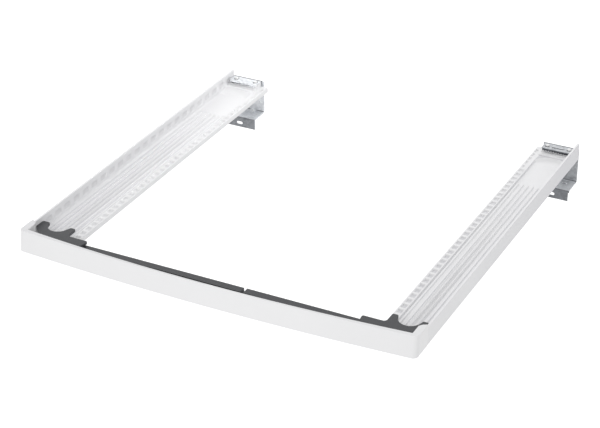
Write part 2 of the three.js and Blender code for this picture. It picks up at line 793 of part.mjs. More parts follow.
function makeRivet() {
  const rim = rivetHeadHeight / 3;
  return toGeometry(turned([
    [0, -rivetShankLength], [rivetShankRadius / 2, -rivetShankLength], [rivetShankRadius, -rivetShankLength * 3 / 4],
    [rivetShankRadius, 0], [rivetHeadRadius, 0], [rivetHeadRadius, rim],
    [rivetHeadRadius * 3 / 4, rivetHeadHeight * 3 / 4], [rivetHeadRadius / 3, rivetHeadHeight], [0, rivetHeadHeight],
  ]));
}

// The screws point up, so their heads hang below the origin
function makeBarScrew() {
  return toGeometry(turned([
    [0, driveDepth - screwHeadHeight], [driveRadius, driveDepth - screwHeadHeight],
    [driveRadius, -screwHeadHeight], [screwHeadRadius, -screwHeadHeight], [screwHeadRadius, 0],
    [screwShankRadius, 0], [screwShankRadius, screwLength * 7 / 8], [0, screwLength],
  ]));
}

function makeShoulderScrew() {
  const shoulder = guideDeckWall + 2 * seatGap;
  return toGeometry(turned([
    [0, driveDepth - shoulderHeadHeight], [driveRadius, driveDepth - shoulderHeadHeight],
    [driveRadius, -shoulderHeadHeight], [shoulderHeadRadius, -shoulderHeadHeight], [shoulderHeadRadius, 0],
    [shoulderRadius, 0], [shoulderRadius, shoulder - seatGap], [threadRadius, shoulder - seatGap],
    [threadRadius, shoulder - seatGap + threadLength], [0, shoulder - seatGap + threadLength],
  ]));
}

function makeGripStrip() {
  return toGeometry(block([-gripWidth / 2, gripWidth / 2], [-gripLength / 2, gripLength / 2], [0, gripThickness]));
}

// Finishes

function finish(color, roughness, metalness) {
  return new THREE.MeshStandardMaterial({ color, roughness, metalness });
}

const finishes = {
  whiteBar: finish(0xeeeef0, 0.42, 0),
  whiteRail: finish(0xe9eaec, 0.5, 0),
  darkGuide: finish(0x55565a, 0.6, 0),
  zincSheet: finish(0xa9abae, 0.4, 1),
  zincScrew: finish(0xb9bbbd, 0.35, 1),
  whiteRivet: finish(0xefefef, 0.5, 0),
  greyGrip: finish(0x8b8d8f, 0.9, 0),
};

const kit = new THREE.Group();

function place(parent, name, geometry, material, at = [0, 0, 0]) {
  const mesh = new THREE.Mesh(geometry, material.clone());
  mesh.name = name;
  mesh.position.set(...at);
  parent.add(mesh);
}

place(kit, 'front_bar', makeFrontBar(), finishes.whiteBar);
place(kit, 'right_foot_guide', makeRightGuide(), finishes.darkGuide);
place(kit, 'left_foot_guide', makeLeftGuide(), finishes.darkGuide);

const railGeometry = makeRail();
const bracketGeometry = makeBracket();
const rivetGeometry = makeRivet();
const barScrewGeometry = makeBarScrew();
const shoulderScrewGeometry = makeShoulderScrew();
const gripGeometry = makeGripStrip();
const whichSide = { right: 1, left: -1 };
const nearAndFar = ['inner', 'outer'];
const frontAndRear = ['front', 'rear'];

for (const [sideName, side] of Object.entries(whichSide)) {
  const group = new THREE.Group();
  const handed = (geometry) => (side > 0 ? geometry : mirrored(geometry));
  place(group, `${sideName}_rail`, handed(railGeometry), finishes.whiteRail);
  place(group, `${sideName}_rear_bracket`, handed(bracketGeometry), finishes.zincSheet);
  rivetPlaces().forEach((x, i) => {
    place(group, `${sideName}_bracket_rivet_${nearAndFar[i]}`, rivetGeometry, finishes.whiteRivet,
      [side * x, rivetDepth, seatPlateTop + seatGap]);
  });
  screwPostPlaces().forEach(([x, y], i) => {
    place(group, `${sideName}_bar_screw_${frontAndRear[i]}`, barScrewGeometry, finishes.zincScrew,
      [side * x, y, floorUnderside - seatGap]);
  });
  guideScrewPlaces().forEach(([x, y], i) => {
    place(group, `${sideName}_guide_screw_${nearAndFar[i]}`, shoulderScrewGeometry, finishes.zincScrew,
      [side * x, y, guideDeckTop - guideDeckWall - seatGap]);
  });
  gripPlaces().forEach((y, i) => {
    place(group, `${sideName}_grip_strip_${frontAndRear[i]}`, gripGeometry, finishes.greyGrip,
      [side * channelCentre, (y[0] + y[1]) / 2, 0]);
  });
  kit.add(group);
}

export default kit;
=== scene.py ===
import json
import math

import bmesh
import bpy
from mathutils import Matrix, Vector


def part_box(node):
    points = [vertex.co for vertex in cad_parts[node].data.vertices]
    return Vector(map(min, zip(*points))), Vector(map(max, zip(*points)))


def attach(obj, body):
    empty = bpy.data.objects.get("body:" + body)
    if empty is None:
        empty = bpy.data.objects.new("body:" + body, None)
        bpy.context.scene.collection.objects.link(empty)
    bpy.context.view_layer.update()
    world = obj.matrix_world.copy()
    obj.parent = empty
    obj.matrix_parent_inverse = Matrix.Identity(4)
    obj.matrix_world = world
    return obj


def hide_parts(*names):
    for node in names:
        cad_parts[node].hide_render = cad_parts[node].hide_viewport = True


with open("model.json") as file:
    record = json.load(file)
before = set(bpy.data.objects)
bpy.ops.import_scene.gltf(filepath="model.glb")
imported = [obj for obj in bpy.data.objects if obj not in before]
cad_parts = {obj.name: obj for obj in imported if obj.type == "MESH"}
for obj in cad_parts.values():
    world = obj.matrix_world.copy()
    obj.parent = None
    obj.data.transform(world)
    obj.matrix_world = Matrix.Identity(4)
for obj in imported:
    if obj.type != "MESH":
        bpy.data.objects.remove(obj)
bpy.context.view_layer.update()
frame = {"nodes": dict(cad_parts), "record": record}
nodes = frame["nodes"]
scene = bpy.context.scene
mm = 0.001
sides = ("left", "right")
print("stage: frame loaded", len(nodes), "nodes")

# Camera and light

view = {
    "azimuth": 26.96,
    "elevation": 29.03,  # degrees above the horizontal
    "target": (-0.0002, 0.2664, 0.0),
    "distance": 2.5527,
    "lens": 106.97,
    "sensor": 36.0,
    "near": 0.05,
    "far": 40.0,
}
azimuth = math.radians(view["azimuth"])
elevation = math.radians(view["elevation"])
awayFromKit = Vector((
    math.sin(azimuth) * math.cos(elevation),
    -math.cos(azimuth) * math.cos(elevation),
    math.sin(elevation),
))
cameraData = bpy.data.cameras.new("camera")
cameraData.lens = view["lens"]
cameraData.sensor_width = view["sensor"]
cameraData.clip_start = view["near"]
cameraData.clip_end = view["far"]
camera = bpy.data.objects.new("camera", cameraData)
camera.location = Vector(view["target"]) + awayFromKit * view["distance"]
camera.rotation_euler = (-awayFromKit).to_track_quat("-Z", "Y").to_euler()
scene.collection.objects.link(camera)
scene.camera = camera
scene.view_settings.view_transform = "Standard"

studio = {
    "worldLevel": 0.78,
    "floorLevel": -0.30,
    "floorSize": 12.0,
    "paperColour": "#F4F4F4",
    "paperGlow": 0.34,  # lifts the paper to pure white where it is seen
}
lamps = {  # softboxes; a narrow spread stands for a honeycomb grid in front of one
    "frontLight": {"power": 1.1, "size": (0.8, 0.8), "spread": 75,
                   "place": (-0.05, -1.5, 0.7), "aim": (-0.03, 0.0, 0.02)},
    "rearLeftLight": {"power": 4.1, "size": (1.1, 0.8), "spread": 180,
                      "place": (-1.35, 1.9, 0.95), "aim": (0.0, 0.27, 0.0)},
    "rearLight": {"power": 5.4, "size": (1.0, 0.8), "spread": 180,
                  "place": (0.1, 2.0, 1.2), "aim": (0.0, 0.27, 0.0)},
    "wallLight": {"power": 0.14, "size": (0.6, 0.6), "spread": 30,
                  "place": (0.35, 1.3, 0.6), "aim": (-0.3, 0.62, 0.015)},
    "bracketLight": {"power": 0.034, "size": (0.1, 0.1), "spread": 8,
                     "place": (0.0, -1.8, 0.8), "aim": (-0.265, 0.61, 0.01)},
}
pureWhite = (1, 1, 1, 1)


def toLinear(hexColour, alpha=1.0):
    channels = [int(hexColour[i:i + 2], 16) / 255 for i in (1, 3, 5)]
    linear = [c / 12.92 if c <= 0.04045 else ((c + 0.055) / 1.055) ** 2.4 for c in channels]
    return (*linear, alpha)


# Adds one shader node, sets its values by name and links its inputs
def addNode(tree, kind, values=None, links=None, **settings):
    node = tree.nodes.new(kind)
    for name, value in settings.items():
        setattr(node, name, value)
    for name, value in (values or {}).items():
        node.inputs[name].default_value = value
    for name, socket in (links or {}).items():
        tree.links.new(socket, node.inputs[name])
    return node


# 1 for rays of the kinds named and 0 for the others, which only carry light about
def isRay(tree, *kinds):
    path = addNode(tree, "ShaderNodeLightPath")
    found = path.outputs[kinds[0]]
    for kind in kinds[1:]:
        found = addNode(tree, "ShaderNodeMath", {}, {0: found, 1: path.outputs[kind]},
                        operation="MAXIMUM").outputs[0]
    return found


world = bpy.data.worlds.new("studioWorld")
scene.world = world
world.use_nodes = True
worldTree = world.node_tree
worldTree.nodes.clear()
seenWorld = isRay(worldTree, "Is Camera Ray", "Is Glossy Ray", "Is Transmission Ray")
dimWorld = addNode(worldTree, "ShaderNodeBackground",
                   {"Color": pureWhite, "Strength": studio["worldLevel"]})
whiteWorld = addNode(worldTree, "ShaderNodeBackground", {"Color": pureWhite, "Strength": 1.0})
worldMix = addNode(worldTree, "ShaderNodeMixShader", {}, {
    0: seenWorld, 1: dimWorld.outputs[0], 2: whiteWorld.outputs[0]})
addNode(worldTree, "ShaderNodeOutputWorld", {}, {"Surface": worldMix.outputs[0]})

for name, softbox in lamps.items():
    data = bpy.data.lights.new(name, "AREA")
    data.energy = softbox["power"]
    data.shape = "RECTANGLE"
    data.size, data.size_y = softbox["size"]
    data.spread = math.radians(softbox["spread"])
    lamp = bpy.data.objects.new(name, data)
    lamp.location = softbox["place"]
    towards = lamp.location - Vector(softbox["aim"])
    lamp.rotation_euler = towards.to_track_quat("Z", "Y").to_euler()
    scene.collection.objects.link(lamp)

floorMesh = bmesh.new()
bmesh.ops.create_grid(floorMesh, x_segments=1, y_segments=1, size=studio["floorSize"] / 2)
bmesh.ops.translate(floorMesh, verts=floorMesh.verts, vec=(0, 0, studio["floorLevel"]))
floorData = bpy.data.meshes.new("studioFloor")
floorMesh.to_mesh(floorData)
floorMesh.free()
floor = bpy.data.objects.new("studioFloor", floorData)
scene.collection.objects.link(floor)
paperWhite = bpy.data.materials.new("paperSweep")  # matt white studio paper, seen as pure white
paperWhite.use_nodes = True
paperTree = paperWhite.node_tree
paperTree.nodes.clear()
paperDiffuse = addNode(paperTree, "ShaderNodeBsdfDiffuse",
                       {"Color": toLinear(studio["paperColour"])})
paperGlow = addNode(paperTree, "ShaderNodeEmission",
                    {"Color": pureWhite, "Strength": studio["paperGlow"]})
paperLit = addNode(paperTree, "ShaderNodeAddShader", {}, {
    0: paperDiffuse.outputs[0], 1: paperGlow.outputs[0]})
paperMix = addNode(paperTree, "ShaderNodeMixShader", {}, {
    0: isRay(paperTree, "Is Camera Ray", "Is Glossy Ray"),
    1: paperDiffuse.outputs[0], 2: paperLit.outputs[0]})
addNode(paperTree, "ShaderNodeOutputMaterial", {}, {"Surface": paperMix.outputs[0]})
floorData.materials.append(paperWhite)
print("stage: camera, light and floor made")

# Finishes

mouldedSkin = {  # what all the mouldings share
    "flowDetail": 2.0, "flowRoughness": 0.5,
    "grainDetail": 3.0, "grainRoughness": 0.6,
    "grainLow": 0.3, "grainHigh": 0.7,  # the grain's noise seldom goes past these
    "zoneEdge": 0.2 * mm, "sideFade": 1 * mm,
}
shadeZoneDefaults = {  # what a zone of painted shade on a moulding has where its piece says nothing else
    "within": 0.15 * mm, "from": 20 * mm, "fadeIn": 1 * mm, "to": 620 * mm, "fadeOut": 1 * mm,
    "beyond": 0, "shares": (1.0, 1.0),  # how strong it is on the left and on the right
}
zincSkin = {"detail": 2.0, "bumpStrength": 0.3}


# Starts a material with even values, which the patterns then take over
def startMaterial(name, look, metallic=0.0):
    material = bpy.data.materials.new(name)
    material.use_nodes = True
    tree = material.node_tree
    shader = tree.nodes["Principled BSDF"]
    shader.inputs["Base Color"].default_value = toLinear(look["colour"])
    shader.inputs["Roughness"].default_value = look["roughness"]
    shader.inputs["Metallic"].default_value = metallic
    return material, tree, shader


# Lets the roughness wander round its own value as a pattern goes from low to high
def spreadGloss(tree, shader, look, pattern, low=0.0, high=1.0):
    gloss = addNode(tree, "ShaderNodeMapRange", {
        "From Min": low, "From Max": high, "To Min": look["roughness"] - look["glossSpread"],
        "To Max": look["roughness"] + look["glossSpread"]}, {"Value": pattern})
    tree.links.new(gloss.outputs["Result"], shader.inputs["Roughness"])


# How much of a zone's painted shade a place on the surface gets, from 0 to 1
def shadeZoneShare(tree, spot, across, zone):
    measured = across if zone["axis"] == "X" else spot.outputs["Z"]
    share = addNode(tree, "ShaderNodeMath", {1: zone["level"], 2: zone["within"]},
                    {0: measured}, operation="COMPARE").outputs[0]
    limits = [
        (spot.outputs["Y"], zone["from"], zone["from"] + zone["fadeIn"], 0.0, 1.0),
        (spot.outputs["Y"], zone["to"] - zone["fadeOut"], zone["to"], 1.0, 0.0),
        (across, zone["beyond"], zone["beyond"] + mouldedSkin["zoneEdge"], 0.0, 1.0),
        (spot.outputs["X"], -mouldedSkin["sideFade"], mouldedSkin["sideFade"], *zone["shares"]),
    ]
    for value, fromMin, fromMax, toMin, toMax in limits:
        step = addNode(tree, "ShaderNodeMapRange", {
            "From Min": fromMin, "From Max": fromMax, "To Min": toMin, "To Max": toMax},
            {"Value": value})
        share = addNode(tree, "ShaderNodeMath", {}, {0: share, 1: step.outputs["Result"]},
                        operation="MULTIPLY").outputs[0]
    return share


# Injection-moulded plastic: a spark-eroded grain, faint flow marks and a colour never quite even,
# with zones of painted shade laid over
def mouldedPlastic(name, look, shadeZones=()):
    material, tree, shader = startMaterial(name, look)
    shader.inputs["IOR"].default_value = look["ior"]
    shader.inputs["Specular IOR Level"].default_value = look.get("sheen", 0.5)
    place = addNode(tree, "ShaderNodeTexCoord").outputs["Object"]
    flow = addNode(tree, "ShaderNodeTexNoise", {
        "Scale": 1 / look["flowSize"], "Detail": mouldedSkin["flowDetail"],
        "Roughness": mouldedSkin["flowRoughness"]}, {"Vector": place})
    skinAndShade = addNode(tree, "ShaderNodeMix", {
        "A": toLinear(look["shade"]), "B": toLinear(look["colour"])},
        {"Factor": flow.outputs["Fac"]}, data_type="RGBA").outputs["Result"]
    spot = addNode(tree, "ShaderNodeSeparateXYZ", {}, {"Vector": place})
    across = addNode(tree, "ShaderNodeMath", {}, {0: spot.outputs["X"]},
                     operation="ABSOLUTE").outputs[0]
    # Each zone multiplies painted shade into the colour
    for zone in shadeZones:
        share = shadeZoneShare(tree, spot, across, shadeZoneDefaults | zone)
        skinAndShade = addNode(tree, "ShaderNodeMix", {"B": toLinear(zone["tint"])},
                       {"Factor": share, "A": skinAndShade}, data_type="RGBA",
                       blend_type="MULTIPLY").outputs["Result"]
    tree.links.new(skinAndShade, shader.inputs["Base Color"])
    grain = addNode(tree, "ShaderNodeTexNoise", {
        "Scale": 1 / look["grainSize"], "Detail": mouldedSkin["grainDetail"],
        "Roughness": mouldedSkin["grainRoughness"]}, {"Vector": place}).outputs["Fac"]
    spreadGloss(tree, shader, look, grain, mouldedSkin["grainLow"], mouldedSkin["grainHigh"])
    bump = addNode(tree, "ShaderNodeBump", {
        "Strength": look["grainStrength"], "Distance": look["grainDepth"]}, {"Height": grain})
    tree.links.new(bump.outputs["Normal"], shader.inputs["Normal"])
    return material


# Zinc on steel: grey with crystals of slightly different sheen, darkened by painted shade on the
# faces that a piece marks and in rings round the rivets
def zincCoating(name, look, shadeRingPlaces=()):
    material, tree, shader = startMaterial(name, look, metallic=1.0)
    place = addNode(tree, "ShaderNodeTexCoord").outputs["Object"]
    warp = addNode(tree, "ShaderNodeTexNoise", {
        "Scale": 1 / look["crystalSize"], "Detail": zincSkin["detail"]}, {"Vector": place})
    shifted = addNode(tree, "ShaderNodeVectorMath", {"Scale": look["crystalSize"]},
                      {0: warp.outputs["Color"]}, operation="SCALE")
    moved = addNode(tree, "ShaderNodeVectorMath", {}, {
        0: place, 1: shifted.outputs["Vector"]}, operation="ADD")
    crystals = addNode(tree, "ShaderNodeTexVoronoi", {"Scale": 1 / look["crystalSize"]},
                       {"Vector": moved.outputs["Vector"]})
    tone = addNode(tree, "ShaderNodeSeparateColor", {}, {"Color": crystals.outputs["Color"]})
    tint = addNode(tree, "ShaderNodeMix", {
        "A": toLinear(look["shade"]), "B": toLinear(look["colour"])},
        {"Factor": tone.outputs["Red"]}, data_type="RGBA")
    # Painted shade: the level that each face of a piece carries, and below it the rings round the
    # rivets
    paintedShade = addNode(tree, "ShaderNodeAttribute", attribute_name="paintedShade").outputs["Fac"]
    # A ring of painted shade round each rivet head, longer the way that the bracket slides
    for centre in shadeRingPlaces:
        squeeze = Vector((1, look["shadeRingSqueeze"], 1))  # longer the way that the bracket slides
        squeezed = addNode(tree, "ShaderNodeVectorMath", {1: squeeze}, {0: place},
                           operation="MULTIPLY")
        away = addNode(tree, "ShaderNodeVectorMath", {1: centre * squeeze},
                       {0: squeezed.outputs["Vector"]}, operation="DISTANCE")
        mark = addNode(tree, "ShaderNodeMapRange", {
            "From Min": look["shadeRingRadius"], "From Max": look["shadeRingRadius"] + look["shadeRingFade"],
            "To Min": look["shadeRingLevel"], "To Max": 0.0}, {"Value": away.outputs["Value"]})
        paintedShade = addNode(tree, "ShaderNodeMath", {}, {0: paintedShade, 1: mark.outputs["Result"]},
                           operation="MAXIMUM").outputs[0]
    shaded = addNode(tree, "ShaderNodeMix", {"B": toLinear(look["shadeTint"])},
                     {"Factor": paintedShade, "A": tint.outputs["Result"]}, data_type="RGBA",
                     blend_type="MULTIPLY")
    tree.links.new(shaded.outputs["Result"], shader.inputs["Base Color"])
    spreadGloss(tree, shader, look, tone.outputs["Green"])
    fine = addNode(tree, "ShaderNodeTexNoise", {
        "Scale": 1 / look["grainSize"], "Detail": zincSkin["detail"]}, {"Vector": place})
    bump = addNode(tree, "ShaderNodeBump", {
        "Strength": zincSkin["bumpStrength"], "Distance": look["grainDepth"]},
        {"Height": fine.outputs["Fac"]})
    tree.links.new(bump.outputs["Normal"], shader.inputs["Normal"])
    return material


# What every piece needs

bodyOf = {node: body for body, names in frame["record"]["behaviour"]["bodies"].items()
          for node in names}


# A closed copy of a CAD node; within a small angle its flat faces are made whole again
def copyOfNode(node, look):
    mesh = bmesh.new()
    mesh.from_mesh(nodes[node].data)
    bmesh.ops.remove_doubles(mesh, verts=mesh.verts, dist=look["mergeWithin"])
    if "flatWithin" in look:
        bmesh.ops.dissolve_limit(mesh, angle_limit=math.radians(look["flatWithin"]),
                                 verts=mesh.verts, edges=mesh.edges)
    return mesh


# Turns a bmesh into a piece that rides on the body of the CAD node that it replaces
def addPiece(name, mesh, material, look, node):
    data = bpy.data.meshes.new(name)
    mesh.to_mesh(data)
    mesh.free()
    data.materials.append(material)
    data.shade_smooth()
    data.set_sharp_from_angle(angle=math.radians(look["smoothBelow"]))
    piece = bpy.data.objects.new(name, data)
    scene.collection.objects.link(piece)
    if "edgeRadius" in look:
        rounding = piece.modifiers.new("roundedEdges", "BEVEL")
        rounding.width = look["edgeRadius"]
        rounding.segments = look["edgeSteps"]
        rounding.limit_method = look.get("roundedBy", "ANGLE")
        rounding.angle_limit = math.radians(look["smoothBelow"])
        rounding.use_clamp_overlap = False
        rounding.harden_normals = True
    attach(piece, bodyOf[node])
    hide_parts(node)


# Front bar

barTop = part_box("front_bar")[1][2]
# The zone below is painted shade: it darkens the bar's top face, fully on the left and half on the
# right
whiteAbs = mouldedPlastic("whiteAbsSatin", {  # satin moulded ABS: even white with a soft sheen
    "colour": "#F0F0F1", "shade": "#ECECED", "roughness": 0.36, "glossSpread": 0.05,
    "ior": 1.53, "flowSize": 90 * mm,
    "grainSize": 1.4 * mm, "grainStrength": 0.2, "grainDepth": 0.02 * mm,
}, [{"axis": "Z", "level": barTop, "from": -20 * mm, "shares": (1.0, 0.5), "tint": "#EAEAEB"}])
barLook = {"mergeWithin": 0.02 * mm, "flatWithin": 0.3, "smoothBelow": 32,
           "edgeRadius": 0.7 * mm, "edgeSteps": 3}
addPiece("front_bar_moulding", copyOfNode("front_bar", barLook), whiteAbs, barLook, "front_bar")
print("stage: front bar made")

# Side rails

railLook = {
    "mergeWithin": 0.02 * mm, "smoothBelow": 32,
    "edgeRadius": 0.35 * mm, "edgeSteps": 2, "roundedBy": "WEIGHT",
    "outside": 298.5 * mm, "floorTop": 4.6 * mm, "rimTop": 8 * mm,
    "rowOuter": 244.9 * mm,  # the inner row lies inside of this, and the rear foot's pad beyond it
    "endWithin": 0.1 * mm, "stopGap": 0.05 * mm,  # the bracket's stop is left a hair clear
    "dish": {"across": 270.1 * mm, "along": 553 * mm, "radius": 32 * mm,
             "low": 4.7 * mm, "high": 8.1 * mm},
    "levelWithin": 0.05 * mm,
    "wallHollows": {  # the shallow hollows in the outer walls, whose floors face the middle
        "axis": 0, "level": 297.3 * mm, "draft": 1.5 * mm, "lift": 0.7 * mm,
        "across": (0, 300 * mm), "along": (0, 620 * mm), "up": (9 * mm, 21 * mm),
    },
    "rowPockets": {  # the square pockets in the inner rows, whose floors face up
        "axis": 2, "level": 6 * mm, "draft": 0.7 * mm, "lift": 0.3 * mm,
        "across": (0, 244.7 * mm), "along": (45 * mm, 620 * mm), "up": (0, 10 * mm),
    },
}
hollowFloor = railLook["wallHollows"]["level"] - railLook["wallHollows"]["lift"]
pocketFloor = railLook["rowPockets"]["level"] + railLook["rowPockets"]["lift"]
# Finely eroded ABS, flatter than the bar; the zones are painted shade
whiteRailAbs = mouldedPlastic("whiteAbsFineMatt", {
    "colour": "#EFEFF0", "shade": "#E9E9EB", "roughness": 0.46, "glossSpread": 0.06,
    "ior": 1.53, "flowSize": 60 * mm,
    "grainSize": 1.2 * mm, "grainStrength": 0.25, "grainDepth": 0.03 * mm,
}, [
    # Painted shade between the ribs, on the left rail only
    {"axis": "Z", "level": railLook["floorTop"], "to": 500 * mm, "fadeOut": 130 * mm,
     "shares": (1.0, 0.0), "tint": "#F1F1F3"},
    # Painted shade in the row's pockets, fainter on the left
    {"axis": "Z", "level": pocketFloor, "within": 0.1 * mm, "to": 560 * mm,
     "fadeOut": 250 * mm, "shares": (0.35, 1.0), "tint": "#E9E9EB"},
    # Painted shade in the walls' hollows
    {"axis": "X", "level": hollowFloor, "tint": "#F6F6F6"},
    # Painted shade on the deck round the rear pads, faint on the left
    {"axis": "Z", "level": railLook["rimTop"], "within": 0.1 * mm, "from": 524 * mm,
     "fadeIn": 8 * mm, "beyond": railLook["rowOuter"], "shares": (0.1, 1.0), "tint": "#EAEAEC"},
    # Painted shade on the walls' outsides, more and more to the rear
    {"axis": "X", "level": railLook["outside"], "from": 150 * mm, "fadeIn": 400 * mm,
     "tint": "#F0F0F2"},
])


def onHollowFloor(place, hollow):
    measured = (abs(place.x), place.y, place.z)
    spans = (hollow["across"], hollow["along"], hollow["up"])
    isLevel = abs(measured[hollow["axis"]] - hollow["level"]) < railLook["levelWithin"]
    return isLevel and all(low < value < high for value, (low, high) in zip(measured, spans))


# Narrows each floor of a kind of hollow, so that its walls get draft, and lifts it to suit
def draftHollows(mesh, hollow):
    axis = hollow["axis"]
    floors = {face for face in mesh.faces
              if all(onHollowFloor(vert.co, hollow) for vert in face.verts)}
    while floors:
        reached = [floors.pop()]
        verts = set()
        while reached:
            face = reached.pop()
            verts.update(face.verts)
            neighbours = {other for edge in face.edges for other in edge.link_faces} & floors
            floors -= neighbours
            reached.extend(neighbours)
        low = Vector(min(vert.co[i] for vert in verts) for i in range(3))
        high = Vector(max(vert.co[i] for vert in verts) for i in range(3))
        shrink = Vector(1 if i == axis else 1 - 2 * hollow["draft"] / (high[i] - low[i])
                        for i in range(3))
        bmesh.ops.scale(mesh, vec=shrink, space=Matrix.Translation(-(low + high) / 2),
                        verts=list(verts))
        lift = Vector((0, 0, 0))
        lift[axis] = hollow["lift"] if axis == 2 else -math.copysign(hollow["lift"], low[0])
        bmesh.ops.translate(mesh, verts=list(verts), vec=lift)


# The rear foot's dish, whose rim is soft already
def onDish(place):
    dish = railLook["dish"]
    away = math.hypot(abs(place.x) - dish["across"], place.y - dish["along"])
    return away < dish["radius"] and dish["low"] < place.z < dish["high"]


# A rail with drafted hollows, where the outward edges are marked for rounding
def makeRail(node, look):
    mesh = copyOfNode(node, look)
    draftHollows(mesh, look["wallHollows"])
    draftHollows(mesh, look["rowPockets"])
    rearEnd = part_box(node)[1][1] - look["endWithin"]
    bmesh.ops.translate(mesh, verts=[vert for vert in mesh.verts if vert.co.y > rearEnd],
                        vec=(0, -look["stopGap"], 0))
    weight = mesh.edges.layers.float.new("bevel_weight_edge")
    for edge in mesh.edges:
        isSharp = edge.calc_face_angle(0) >= math.radians(look["smoothBelow"])
        if isSharp and edge.is_convex:
            middle = (edge.verts[0].co + edge.verts[1].co) / 2
            edge[weight] = 0.0 if onDish(middle) else 1.0
    return mesh


# Foot guides

greyPolyamide = mouldedPlastic("greyPolyamideMoulded", {  # glass-filled: dark, dull, mottled
    "colour": "#444548", "shade": "#3A3B3E", "roughness": 0.55, "glossSpread": 0.1,
    "ior": 1.53, "sheen": 0.36, "flowSize": 14 * mm,
    "grainSize": 0.9 * mm, "grainStrength": 0.4, "grainDepth": 0.05 * mm,
})
guideLook = {"mergeWithin": 0.02 * mm, "flatWithin": 0.3, "smoothBelow": 32,
             "edgeRadius": 0.5 * mm, "edgeSteps": 3}

# Rear brackets

bracketLook = {
    "mergeWithin": 0.02 * mm, "flatWithin": 0.3, "smoothBelow": 32,
    "edgeRadius": 0.25 * mm, "edgeSteps": 2,
    "flangeTop": -38 * mm, "seatLow": 9 * mm, "creaseFrom": 607.3 * mm,
    "facing": 0.6,  # a face looks to the front or rear when this much of its normal does
    "paintedShade": {  # painted shade on each kind of face, set apart for the left and the right bracket
        "left": {"seat": 0.06, "bend": 1.0, "lip": 0.0, "back": 0.0, "rear": 0.35,
                 "shelf": 0.0, "flange": 0.76},
        "right": {"seat": 0.45, "bend": 0.95, "lip": 1.0, "back": 0.5, "rear": 0.4,
                  "shelf": 0.0, "flange": 0.86},
    },
}
rivetPlaces = []  # the tops of the rivets' heads, round which the seat plates get a ring of painted shade
for side in sides:
    for place in ("inner", "outer"):
        low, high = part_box(f"{side}_bracket_rivet_{place}")
        rivetPlaces.append(Vector(((low[0] + high[0]) / 2, (low[1] + high[1]) / 2, high[2])))
# The darker tint below is painted shade, taken by the brackets' shaded faces and the rings round
# the rivets
zincSheet = zincCoating("galvanisedSheetSteel", {  # hot-dipped sheet: bright and frosty
    "colour": "#EEF0F2", "shade": "#DCDEE1", "shadeTint": "#77797D",
    "roughness": 0.7, "glossSpread": 0.1,
    "crystalSize": 3.5 * mm, "grainSize": 1.0 * mm, "grainDepth": 0.03 * mm,
    "shadeRingSqueeze": 0.7, "shadeRingRadius": 3.9 * mm, "shadeRingFade": 0.9 * mm, "shadeRingLevel": 0.9,
}, rivetPlaces)


# A bracket cut at the crease, whose faces each carry a level of painted shade
def makeBracket(node, look):
    mesh = copyOfNode(node, look)
    levels = look["paintedShade"][node.split("_")[0]]
    bmesh.ops.bisect_plane(mesh, geom=[*mesh.verts, *mesh.edges, *mesh.faces],
                           dist=look["mergeWithin"], plane_co=(0, look["creaseFrom"], 0),
                           plane_no=(0, 1, 0))
    paintedShade = mesh.loops.layers.float.new("paintedShade")
    for face in mesh.faces:
        middle = face.calc_center_median()
        facing = face.normal.y
        level = levels["back" if facing < look["facing"] else "rear"]
        if middle.z < look["flangeTop"]:
            level = levels["flange" if abs(facing) > look["facing"] else "shelf"]
        elif middle.z > look["seatLow"] and facing < -look["facing"]:
            level = levels["lip"]
        elif middle.z > look["seatLow"]:
            level = levels["bend" if middle.y > look["creaseFrom"] else "seat"]
        for loop in face.loops:
            loop[paintedShade] = level
    return mesh


# Rivets and screws, made upright on the middle axis with the underside of the head at height 0

whiteAcetal = mouldedPlastic("whiteAcetalTurned", {  # acetal: smooth, slightly waxy white
    "colour": "#F2F2F2", "shade": "#ECECEC", "roughness": 0.3, "glossSpread": 0.04,
    "ior": 1.48, "flowSize": 6 * mm,
    "grainSize": 0.6 * mm, "grainStrength": 0.1, "grainDepth": 0.02 * mm,
})
zincScrew = zincCoating("zincPlatedScrewSteel", {  # plated: smoother than the dipped sheet
    "colour": "#C2C4C6", "shade": "#B2B4B7", "shadeTint": "#77797D",
    "roughness": 0.3, "glossSpread": 0.05,
    "crystalSize": 1.6 * mm, "grainSize": 0.8 * mm, "grainDepth": 0.02 * mm,
})
rivetLook = {
    "smoothBelow": 50, "mergeWithin": 0.002 * mm, "steps": 48, "domeSteps": 8, "corner": 0.15 * mm,
    "headRadius": 3.2 * mm, "headHeight": 1.9 * mm, "rim": 0.45 * mm,
    "shankRadius": 2 * mm, "shankLength": 9 * mm, "taper": 2.25 * mm,
}
barScrewLook = {
    "smoothBelow": 40, "mergeWithin": 0.002 * mm, "steps": 48, "corner": 0.15 * mm,
    "headRadius": 3.2 * mm, "headHeight": 1.7 * mm,
    "headRound": 0.6 * mm, "roundMiddle": 0.225 * mm,
    "socketRadius": 1.5 * mm, "socketDepth": 1.2 * mm,
    "lobes": 6, "lobeDepth": 0.14, "lobeReach": 0.225 * mm,
    "threadRadius": 1.4 * mm, "threadDepth": 0.3 * mm, "threadPitch": 1.1 * mm,
    "threadLength": 13.4 * mm, "tip": 1.8 * mm,
    "rootShares": (0.1, 0.3), "crestShares": (0.6, 0.7),  # of a pitch
}
guideScrewLook = barScrewLook | {
    "headRadius": 4.4 * mm, "headHeight": 2.2 * mm, "shoulderRadius": 2.6 * mm,
    "threadRadius": 1.6 * mm, "threadLength": 3 * mm, "tip": 0.2 * mm,
}


